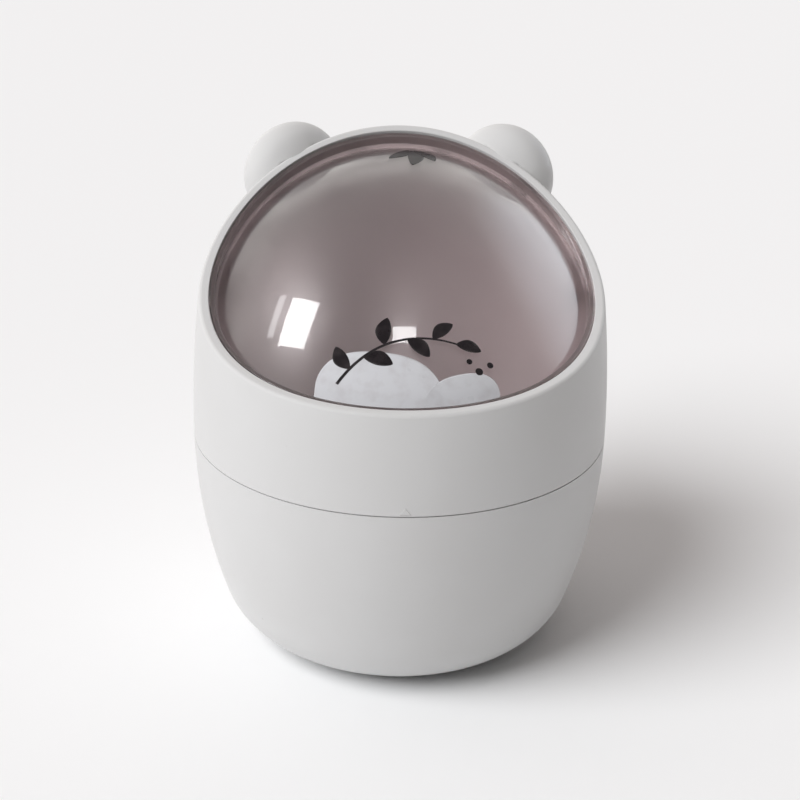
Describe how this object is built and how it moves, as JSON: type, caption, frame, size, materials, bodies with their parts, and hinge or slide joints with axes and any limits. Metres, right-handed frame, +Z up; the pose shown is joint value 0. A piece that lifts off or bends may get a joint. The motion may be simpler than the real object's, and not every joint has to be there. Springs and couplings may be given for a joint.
{
  "type": "push top countertop bin",
  "caption": "Small round countertop bin with a lift-off housing, two round ears and a smoky domed lid that tips inwards when pushed.",
  "frame": {"origin": "centre of the foot ring's resting face, on the bin's axis", "axes": "+Z up along the bin's axis, -Y to the low front of the lip, +X to the right of someone facing the front"},
  "size_m": [0.14, 0.1449, 0.1638],
  "materials": {
    "white_plastic": "satin",
    "smoky_clear": "gloss",
    "soft_rubber": "matte",
    "acetal": "satin",
    "steel": "satin"
  },
  "bodies": {
    "bucket": {"lower_bucket": "white_plastic", "foot_ring": "soft_rubber"},
    "housing": {"upper_housing": "white_plastic", "ear_left": "white_plastic", "ear_right": "white_plastic", "ear_screw_left": "steel", "ear_screw_right": "steel", "lid_collar": "white_plastic", "lid_bumper_1": "soft_rubber", "lid_bumper_2": "soft_rubber", "lid_bumper_3": "soft_rubber", "lid_bumper_4": "soft_rubber", "pivot_bush_left": "acetal", "pivot_bush_right": "acetal", "return_spring_left": "steel", "return_spring_right": "steel"},
    "lid": {"dome_lid": "smoky_clear", "pivot_pin_left": "steel", "pivot_pin_right": "steel", "pin_clip_left": "steel", "pin_clip_right": "steel"}
  },
  "joints": [
    {"name": "housing_lift", "type": "slide", "parent": "bucket", "child": "housing", "axis": [0, 0, 1], "range_m": [0, 0.04]},
    {"name": "lid_swing", "type": "hinge", "parent": "housing", "child": "lid", "pos_m": [0, 0.006, 0.1185], "axis": [1, 0, 0], "range_deg": [0, 60], "stiffness_Nm_per_rad": 0.012, "springref_deg": -57.3, "deforming": ["return_spring_left", "return_spring_right"]}
  ]
}
